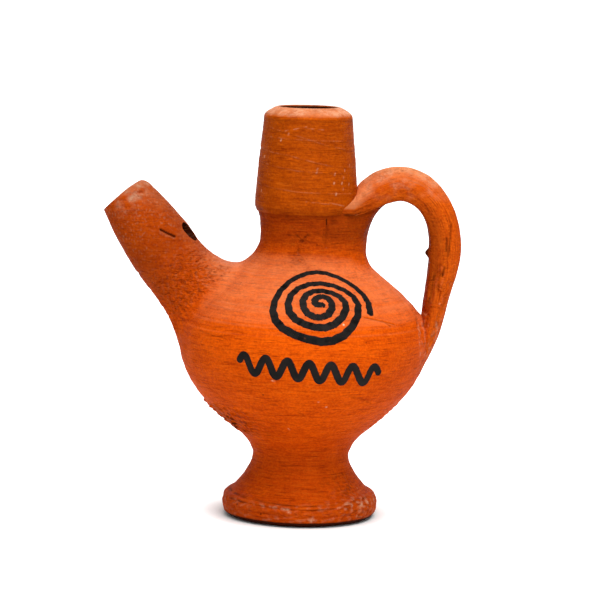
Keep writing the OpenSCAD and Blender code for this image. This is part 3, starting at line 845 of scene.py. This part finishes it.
# Along the strap: 0 at the upper root, 1 at the crown, 2 at its furthest, 3 at the elbow, 4 at the tail
part = np.linspace(0, 4, len(back))
half_w = np.interp(part, [0, 0.06, 0.14, 0.25, 0.4, 0.65, 1, 2.6, 3, 3.4, 3.8, 4],
    [8.9, 8.4, 7.7, 6.9, 6.0, 5.2, 4.8, 5.2, 7.4, 8.0, 6.0, 3.2])
half_w = np.convolve(np.pad(half_w, 12, "edge"), np.hanning(27)[1:-1] / np.hanning(27).sum(), "valid")
round_coil = np.linspace(0, 2 * math.pi, 168, endpoint=False)
outward, sideways = np.cos(round_coil), np.sin(round_coil)
middle, half = (back + inside) / 2, (back - inside) / 2
flat_under = held((3.3 - part) / 0.8)[:, None] * (outward < 0)
deep = np.sign(outward) * np.abs(outward) ** (1 - 0.42 * flat_under)
leaf = np.interp(part, [0, 0.3, 0.6], [1.5, 0.7, 0])[:, None] * (outward > -0.3)
wide = np.sign(sideways) * np.abs(sideways) ** (1 + leaf - 0.28 * flat_under)
sag = np.interp(part, [0, 0.5, 1, 2, 3, 4], [0.95, 0.85, 0.5, 0.32, 0.1, 0])[:, None] * sideways ** 2
coil = np.stack([middle[:, :1] + half[:, :1] * (deep - sag), half_w[:, None] * wide,
    middle[:, 1:] + half[:, 1:] * (deep - sag)], axis=-1)
# Painted shade on the strap's inner and under faces, which turn away from the light.
inner_shade = held(0.4 - deep + sag)
length = np.cumsum(np.linalg.norm(np.diff(middle, axis=0, prepend=middle[:1]), axis=1))

# Fibres drawn along the coil, as (depth, count round it, twist, start)
fibres = [(0.30, 9, 0.3, 1.0), (0.25, 14, -0.5, 2.2), (0.22, 21, 0.8, 0.4), (0.20, 27, -0.7, 3.1),
    (0.18, 33, 1.1, 5.0)]
drawn = sum(depth * np.cos(count * round_coil[None, :] + 0.10 * length[:, None] * twist + start)
    for depth, count, twist, start in fibres)
pressed = 0.10 * lumps(coil, 15, 61) + 0.035 * lumps(coil, 4.5, 62) + 0.045 * drawn - 0.10

# Tears, folds and scuffs in the strap's front, as [x, height], and a nub of clay inside the loop
tears = [
    [(35.4, 73.2), (35.2, 69.6), (34.8, 65.4)], [(34.4, 69.8), (34.3, 66.6)], [(34.0, 62.6), (33.6, 60.6)]]
folds = [
    [(34.8, 55.1), (33.0, 50.6), (31.4, 45.4), (30.2, 42.4), (28.3, 38.2)],
    [(27.4, 50.4), (27.3, 46.4), (27.8, 42.0), (28.1, 37.4)],
    [(32.9, 63.0), (31.6, 60.2), (30.9, 55.6), (29.3, 51.5)],
    [(35.2, 58.6), (34.3, 54.0), (32.2, 47.8)], [(33.4, 61.0), (32.6, 57.4), (33.2, 54.4)]]
scuffs = [[(33.6, 82.2), (34.6, 80.8), (35.6, 79.2)], [(36.0, 78.8), (36.4, 77.6)]]
nub_x, nub_z = 30.0, 66.0


def on_lines(points, lines, width):
    """How much places lie on lines of [x, height] seen from the jug's front."""
    amount = np.max([near_line(points[..., [0, 2]], line, width) for line in lines], axis=0)
    return amount * (points[..., 1] < 0)


hold = held(np.minimum(part / 0.25, (3.9 - part) / 0.5))[:, None]
nub = np.exp(-np.sum((coil - [nub_x, -2.2, nub_z]) ** 2, axis=-1) / 1.2)
creased = 0.50 * on_lines(coil, folds, 0.55) + 0.20 * on_lines(coil, tears, 0.35) - 1.2 * nub
coil = coil + skin_normals(coil) * (hold * (pressed - creased))[..., None]
coil[..., 0] = np.minimum(coil[..., 0], REACH_X)
floor_x = landed(coil[..., 1], np.clip(coil[..., 2], 22, 99), 1)[..., 0]
beside = np.abs(coil[..., 1]) < np.hypot(floor_x, coil[..., 1])
coil[..., 0] = np.where(beside, np.maximum(coil[..., 0], floor_x), coil[..., 0])
end_middle = coil[0].mean(0)
start = [landed(*(end_middle + (coil[0] - end_middle) * share)[:, 1:].T, 1) for share in (0.2, 0.6, 1)]
coil = np.concatenate([start, coil])
handle = clay_skin("handle_clay", coil, ends=(True, True))


def luted_patch(name, heights, bulge, reach):
    """Clay smeared on the jug's side under the handle: how far it bulges out at each
    height, and how far round it reaches, in radians."""
    share = np.linspace(-1, 1, 150)
    turn = reach[:, None] * share
    z = np.repeat(heights[:, None], len(share), axis=1)
    swell = bulge[:, None] * np.cos(share * math.pi / 2) ** 2
    skin = jug_r(turn, z)
    face = skin + 0.03 - 0.3 * np.abs(share) ** 24 + swell
    spot = about_axis(turn, z, face)
    face = face + np.minimum(swell, 1) * (0.10 * lumps(spot, 6, 63) + 0.04 * lumps(spot, 2.5, 64)
        - 0.35 * on_lines(spot, folds, 0.5))
    behind = (skin - 0.6)[:, ::-1]
    turn, z = (np.concatenate([row, row[:, ::-1]], axis=1) for row in (turn, z))
    rings = about_axis(turn, z, np.concatenate([face, behind], axis=1))
    return clay_skin(name, rings, ends=(True, True))


def eased(at, known, values, over=9):
    """Values between known places, with the corners rounded off."""
    plain = np.interp(at, known, values)
    weights = np.hanning(over + 2)[1:-1]
    return np.convolve(np.pad(plain, over // 2, "edge"), weights / weights.sum(), "valid")


# The web's edge in the loop, as [x, height], from the shoulder up under the strap
web_edge = np.array([
    (18.1, 60), (17.3, 61), (16.45, 62), (15.57, 63), (15.09, 64.5), (14.87, 66), (14.85, 67.5), (15.0, 69),
    (15.29, 70.5), (15.73, 72), (16.33, 73.5), (17.14, 75), (18.27, 76.5), (19.4, 77.5), (20.8, 78.2),
    (22.4, 78.7), (24.0, 79.2)])
heights = np.arange(60.0, 79.2, 0.1)
web_x = eased(heights, web_edge[:, 1], web_edge[:, 0])
bulge = np.maximum(web_x - jug_r(np.zeros_like(heights), heights), 0) * held((heights - 60.3) / 2.5)
reach = eased(heights, [60, 64, 72, 75, 76.5, 77.5, 78.3, 79.2],
    [1.35, 1.35, 1.25, 0.95, 0.72, 0.5, 0.32, 0.22])
web = luted_patch("handle_web", heights, bulge, reach)
heights = np.arange(35.5, 53.6, 0.15)
bulge = eased(heights, [35.5, 37.5, 39, 41, 43, 45, 47, 49, 51, 53.6],
    [0, 0.12, 0.35, 0.85, 1.5, 2.0, 2.0, 1.2, 0.3, 0])
reach = eased(heights, [35.5, 38, 41, 45, 49, 51, 53.6],
    [0.20, 0.30, 0.38, 0.42, 0.36, 0.30, 0.2])
tail = luted_patch("handle_tail", heights, bulge, reach)

strap_points = len(handle.data.vertices)
joined = bmesh.new()
for piece in (handle, web, tail):
    joined.from_mesh(piece.data)
joined.to_mesh(handle.data)
joined.free()
for piece in (web, tail):
    bpy.data.objects.remove(piece)
spots = points_of(handle)
turn = np.arctan2(spots[:, 1], spots[:, 0])
run = np.concatenate([np.zeros(len(start)), length])
girth = round_coil / (2 * math.pi) * GIRTH
mark(handle, "run", np.concatenate([np.repeat(run, len(girth)), spots[strap_points:, 2]]))
mark(handle, "girth", np.concatenate([np.tile(girth, len(run)), turn[strap_points:] * 22]))
# Painted shade: the strap's inner side, the web under its upper root, and the creases of its folds and tears.
inner_shade_points = np.concatenate([inner_shade[:1]] * len(start) + [inner_shade]).ravel()
darker = 0.58 * held((spots[:, 2] - 62) / 8)
darker[:strap_points] = 0.10 + inner_shade_points * np.interp(spots[:strap_points, 2], [50, 62, 74, 80],
    [0.28, 0.42, 0.42, 0.22])
shed = held(lumps(spots, 2.0, 66))
worn_folds = on_lines(spots - [0.55, 0, 0], folds, 0.3) * held(0.6 + lumps(spots, 3, 69))
# The crown is worn pale, and lightened as a painted highlight where the overhead light falls on it.
worn_and_lit_crown = held((spots[:, 2] - 78) / 6) * held(0.6 + lumps(spots, 4, 67))
mark(handle, "worn_and_lit", held(1.7 * on_lines(spots, scuffs, 0.4) * (0.4 + shed) + 0.40 * shed * (spots[:, 2] < 50)
    + 0.09 * worn_folds + 0.42 * worn_and_lit_crown))
deep_folds = on_lines(spots, folds, 0.3) * held(0.5 + 0.9 * lumps(spots, 3.5, 68))
nub_dark = np.exp(-np.sum((spots - [nub_x, -2.4, nub_z]) ** 2, axis=-1) / 0.9)
mark(handle, "shade", np.clip(0.45 * on_lines(spots, tears, 0.26) + 0.26 * deep_folds + 0.7 * nub_dark
    + darker * held((spots[:, 2] - 44) / 8), 0, 0.9))
mark(handle, "rough", held(0.32 + 0.4 * held((spots[:, 2] - 84) / 3) + 0.3 * shed * (spots[:, 2] < 60)))
coil_clay = fired_clay("coil_clay", srgb(238, 104, 14), srgb(178, 54, 2), 0.6, 0.95, coil=True)
handle.data.materials.clear()
handle.data.materials.append(coil_clay)
handle.data.materials.append(red_clay)

# The web and the tail are of the bowl's own clay
first = np.empty(len(handle.data.polygons), np.int32)
handle.data.polygons.foreach_get("loop_start", first)
corner = np.empty(len(handle.data.loops), np.int32)
handle.data.loops.foreach_get("vertex_index", corner)
handle.data.polygons.foreach_set("material_index", (corner[first] >= strap_points).astype(np.int32))
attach(handle, "root")
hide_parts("handle")

# ---- Painted spiral and wave
# Black earth colour laid on the fired bowl with a loaded round brush, one stroke
# for the spiral and one for the wavy line below it. It is matt and slightly raised.
STROKE_STEP = 0.12
PAINT_H = 0.05


def on_front(x, height):
    """Points on the painted front of the bowl's skin."""
    y = np.full(np.shape(x), -20.0)
    for _ in range(8):
        reach = bowl_r(np.arctan2(y, x), height)
        y = -np.sqrt(np.maximum(reach ** 2 - x ** 2, 0.01))
    return np.stack([x, y, height], axis=-1)


def brushed(name, path, width, seed, fuller=0.0):
    """One stroke along a path of [x, height] on the bowl's front, round at its ends
    and as wide as the brush on the bowl's skin. A fuller stroke is wider lower down."""
    path = evened(on_front(path[:, 0], path[:, 1]), STROKE_STEP)
    rng = np.random.default_rng(seed)
    run = np.arange(len(path)) * STROKE_STEP

    def edge_line():
        waves = [rng.uniform(0.4, 1) * np.sin(run * rng.uniform(0.4, 7) + rng.uniform(0, 6))
            for _ in range(12)]
        return sum(waves) / 12

    edges = edge_line(), edge_line()
    along = np.gradient(path, axis=0)
    along /= np.linalg.norm(along, axis=1, keepdims=True)
    steep = np.interp(path[:, 2], bowl_side[:, 1], np.gradient(bowl_side[:, 0], bowl_side[:, 1]))
    outward = np.stack([path[:, 0], path[:, 1], -steep * np.hypot(path[:, 0], path[:, 1])], axis=1)
    across = np.cross(along, outward)
    across /= np.linalg.norm(across, axis=1, keepdims=True)
    to_end = held(np.minimum(run, run[::-1]) / (width / 2))
    lower = (path[:, 2].mean() - path[:, 2]) / (path[:, 2].max() - path[:, 2].min())
    half = width / 2 * (1 + fuller * lower) * np.sqrt(np.clip(1 - (1 - to_end) ** 2, 0.01, 1))
    lanes = np.linspace(-1, 1, 17)
    grow = np.where(lanes > 0, (1 + 0.13 * edges[0])[:, None], (1 + 0.13 * edges[1])[:, None])
    laid = path[:, None, :] + across[:, None, :] * (half[:, None] * lanes * grow)[..., None]
    turn, height = np.arctan2(laid[..., 1], laid[..., 0]), laid[..., 2]
    skin = bowl_r(turn, height)
    top = about_axis(turn, height, skin + np.where(np.abs(lanes) < 0.99, PAINT_H, -0.06))
    low = about_axis(turn, height, skin - 0.12)[:, ::-1]
    return clay_skin(name, np.concatenate([top, low[:, 1:-1]], axis=1), ends=(True, True))


black = bpy.data.materials.new("brushed_black")
tree = cleared(black)
place = add(tree, "TexCoord").outputs["Object"]
bristle = noise(tree, place, 800.0, 5.0, 0.7)
tint = blended(tree, between(tree, noise(tree, place, 150.0), 0.35, 0.65), srgb(10, 8, 7), srgb(28, 24, 22))
tint = blended(tree, between(tree, bristle, 0.64, 0.78, 0.0, 0.8), tint, srgb(96, 46, 22))
bump = add(tree, "Bump", {"Height": bristle, "Strength": 0.5, "Distance": 0.00008})
shader = add(tree, "BsdfPrincipled", {"Base Color": tint, "Roughness": 0.62,
    "Normal": bump.outputs["Normal"], "Specular IOR Level": 0.08})
add(tree, "OutputMaterial", {"Surface": shader.outputs["BSDF"]})

# Corner marks of the spiral, as [x, height], from its middle outward
spiral_marks = [
    (5.1, 55.3), (3.5, 55.0), (2.1, 55.5), (2.5, 56.5), (3.6, 57.1), (5.1, 57.0), (6.4, 56.3), (6.9, 55.2),
    (6.6, 53.6), (5.2, 52.6), (3.4, 52.4), (1.6, 52.7), (0.3, 53.9), (-0.5, 55.3), (-0.2, 56.8),
    (1.1, 57.9), (3.2, 58.3), (5.4, 58.1), (7.6, 57.4), (9.5, 56.4), (10.2, 55.1), (10.1, 53.5),
    (8.5, 51.6), (6.3, 50.4), (4.1, 50.1), (1.6, 50.6), (-0.9, 51.4), (-3.0, 52.6), (-3.9, 54.4),
    (-3.8, 56.3), (-2.6, 58.0), (-0.4, 59.3), (2.5, 59.8), (5.4, 59.7), (8.4, 58.8), (10.9, 57.6),
    (12.8, 56.0), (13.4, 54.0), (12.5, 51.5), (10.7, 49.2), (8.5, 47.7), (5.7, 47.0), (2.8, 47.2),
    (-0.5, 48.2), (-3.8, 49.1), (-6.0, 50.7), (-7.4, 52.6), (-7.4, 54.6), (-6.6, 56.8), (-4.8, 59.2),
    (-2.7, 60.5), (-0.5, 61.6), (1.7, 62.1), (3.9, 62.1), (6.5, 61.6), (9.1, 60.5), (11.3, 59.3),
    (13.5, 57.8), (15.0, 56.2), (16.0, 54.2), (15.8, 52.6)]
spiral_path = np.array(spiral_marks, float)
for _ in range(3):
    near = np.concatenate([spiral_path[:1], (spiral_path[:-1] * 3 + spiral_path[1:]) / 4])
    far = np.concatenate([(spiral_path[:-1] + spiral_path[1:] * 3) / 4, spiral_path[-1:]])
    spiral_path = np.stack([near, far], axis=1).reshape(-1, 2)
spiral = brushed("painted_spiral", spiral_path, 1.8, 71, fuller=0.4)
WAVES = 6.5
run = np.linspace(0, 1, 160)
wave_path = np.stack([-15.2 + 33.6 * run, 41.3 - 2.6 * run + 2.1 * np.sin(run * 2 * math.pi * WAVES)], axis=1)
wave = brushed("painted_wave", wave_path, 1.9, 72)
for stroke in (spiral, wave):
    stroke.data.materials.append(black)
    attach(stroke, "root")

# ---- Table and light
# A white table without an edge, one large soft lamp overhead and a little to the
# right, weaker ones in front and behind, and a pale room.
TABLE_R = 20000.0
table = clay_skin("table", np.stack([about_axis(round_coil, 0 * round_coil, r)
    for r in (1.0, 60.0, 150.0, 400.0, TABLE_R)]), ends=(True, False))


def seen_plainly(tree):
    """1 for a ray from the camera, from a shine or through glass, and 0 for others."""
    path = add(tree, "LightPath")
    rays = ("Is Camera Ray", "Is Glossy Ray", "Is Transmission Ray")
    return maths(tree, "MAXIMUM", *[path.outputs[ray] for ray in rays])


# The table is lifted to white where it is seen, less near the foot, so its shadow stays
white = bpy.data.materials.new("white_table")
tree = cleared(white)
place = add(tree, "TexCoord").outputs["Object"]
paper = blended(tree, noise(tree, place, 900.0, 3.0), srgb(236, 235, 234), srgb(246, 246, 245))
matt = add(tree, "BsdfDiffuse", {"Color": paper}).outputs["BSDF"]
away = add(tree, "VectorMath", {0: place}, operation="LENGTH").outputs["Value"]
lift = maths(tree, "ADD", *[between(tree, away, near, far, 0.0, share)
    for near, far, share in ((0.0175, 0.0205, 0.25), (0.0205, 0.028, 0.60), (0.028, 0.09, 0.15))])
lift = maths(tree, "MULTIPLY", lift, seen_plainly(tree))
glow = add(tree, "Emission", {"Color": (1.0, 1.0, 1.0, 1.0), "Strength": lift}).outputs["Emission"]
both = add(tree, "AddShader", {0: matt, 1: glow}).outputs["Shader"]
add(tree, "OutputMaterial", {"Surface": both})
table.data.materials.append(white)


def lamp(name, place, size, watts):
    """A round soft lamp, aimed at the middle of the jug."""
    light = bpy.data.lights.new(name, "AREA")
    light.shape = "DISK"
    light.size = size
    light.energy = watts
    holder = bpy.data.objects.new(name, light)
    holder.location = place
    holder.rotation_euler = (Vector((0, 0, 0.05)) - Vector(place)).to_track_quat("-Z", "Y").to_euler()
    bpy.context.scene.collection.objects.link(holder)


lamp("overhead_lamp", (0.14, -0.42, 0.88), 0.7, 8.5)
lamp("front_lamp", (0.10, -1.0, 0.36), 0.6, 2.9)
lamp("back_lamp", (0.0, 1.0, 0.55), 0.7, 2.4)
room = bpy.data.worlds.new("room")
bpy.context.scene.world = room
tree = cleared(room)
level = between(tree, seen_plainly(tree), 0.0, 1.0, 0.30, 1.0)
sky = add(tree, "Background", {"Color": (1.0, 1.0, 1.0, 1.0), "Strength": level})
add(tree, "OutputWorld", {"Surface": sky.outputs["Background"]})

# ---- Camera
# A long lens three quarters of a metre off, on the photograph's side. It stands a
# little above the jug, looks down at it by 7 degrees, and is held slightly turned.
LOOK_DOWN, ROLL = 7.14662, 1.33
lens = bpy.data.cameras.new("camera")
lens.lens = 181.03
lens.sensor_width = 36.0
lens.clip_end = 60.0
camera = bpy.data.objects.new("camera", lens)
camera.matrix_world = (Matrix.Translation((0.00016, -0.749, 0.1458))
    @ Matrix.Rotation(math.radians(90 - LOOK_DOWN), 4, "X") @ Matrix.Rotation(math.radians(ROLL), 4, "Z"))
bpy.context.scene.collection.objects.link(camera)
bpy.context.scene.camera = camera
bpy.context.scene.view_settings.view_transform = "Standard"

bpy.context.view_layer.update()
